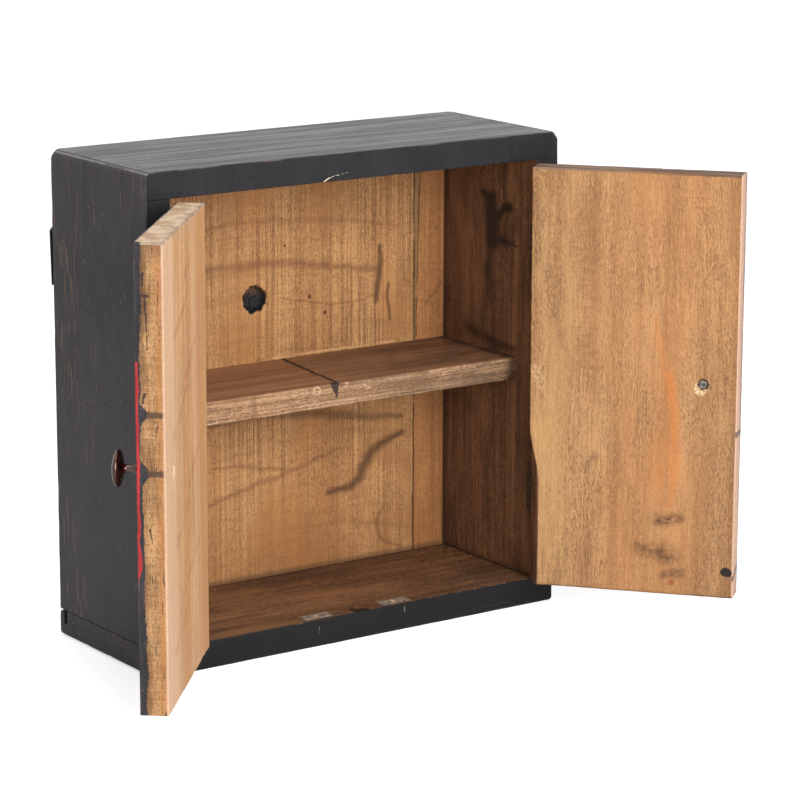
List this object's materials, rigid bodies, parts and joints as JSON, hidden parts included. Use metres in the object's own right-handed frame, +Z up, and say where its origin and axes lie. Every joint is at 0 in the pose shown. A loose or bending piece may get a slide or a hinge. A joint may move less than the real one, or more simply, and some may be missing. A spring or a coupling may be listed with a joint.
{
  "type": "medicine cabinet",
  "caption": "Shallow wall medicine cabinet of painted reclaimed boards with inset swinging doors, an inner shelf, butt hinges, mushroom knobs and ball catches.",
  "frame": {"origin": "middle of the case's underside", "axes": "+Z up, +X to the right seen from the front, +Y towards the wall; the doors are at -Y"},
  "size_m": [0.6659, 0.3473, 0.458],
  "materials": {
    "case_boards": "worn satin charcoal paint outside, bare brown wood inside",
    "door_boards": "bare tan wood inside, worn charcoal paint outside",
    "back_planks": "bare sawn wood",
    "shelf_board": "bare waxed wood",
    "filler": "matt dark filler",
    "steel": "dull aged steel",
    "black_iron": "black paint",
    "bronze": "dark antique bronze"
  },
  "bodies": {
    "carcass": {"top_board": "case_boards", "bottom_board": "case_boards", "left_side_board": "case_boards", "right_side_board": "case_boards", "back_plank_left": "back_planks", "back_plank_middle": "back_planks", "back_plank_right": "back_planks", "shelf": "shelf_board", "top_screws": "steel", "screw_plugs": "filler", "bottom_screws": "steel", "shelf_nails": "steel", "left_strike_plate": "steel", "right_strike_plate": "steel", "strike_screws": "steel", "left_wall_hook": "black_iron", "right_wall_hook": "black_iron", "wall_hook_screws": "steel", "frame_leaf_screws": "steel", "left_upper_frame_leaf": "steel", "left_lower_frame_leaf": "steel", "right_upper_frame_leaf": "steel", "right_lower_frame_leaf": "steel", "left_upper_hinge_pin": "steel", "left_lower_hinge_pin": "steel", "right_upper_hinge_pin": "steel", "right_lower_hinge_pin": "steel"},
    "left_door": {"left_door_panel": "door_boards", "left_knob": "bronze", "left_knob_screw": "steel", "left_catch_barrel": "steel", "left_catch_spring": "steel", "left_upper_door_leaf": "steel", "left_lower_door_leaf": "steel", "left_door_leaf_screws": "steel"},
    "right_door": {"right_door_panel": "door_boards", "right_knob": "bronze", "right_knob_screw": "steel", "right_catch_barrel": "steel", "right_catch_spring": "steel", "right_upper_door_leaf": "steel", "right_lower_door_leaf": "steel", "right_door_leaf_screws": "steel"},
    "left_ball": {"left_catch_ball": "steel"},
    "right_ball": {"right_catch_ball": "steel"}
  },
  "joints": [
    {"name": "left_door_swing", "type": "hinge", "parent": "carcass", "child": "left_door", "pos_m": [-0.1994, -0.0872, 0.22975], "axis": [0, 0, -1], "range_deg": [-131.5, 48.5]},
    {"name": "right_door_swing", "type": "hinge", "parent": "carcass", "child": "right_door", "pos_m": [0.1994, -0.0872, 0.22975], "axis": [0, 0, 1], "range_deg": [-130.3, 49.7]},
    {"name": "left_ball_press", "type": "slide", "parent": "left_door", "child": "left_ball", "axis": [0, 0, 1], "range_m": [0, 0.002], "stiffness_N_per_m": 300, "springref_m": -0.002, "deforming": ["left_catch_spring"]},
    {"name": "right_ball_press", "type": "slide", "parent": "right_door", "child": "right_ball", "axis": [0, 0, 1], "range_m": [0, 0.002], "stiffness_N_per_m": 300, "springref_m": -0.002, "deforming": ["right_catch_spring"]}
  ]
}
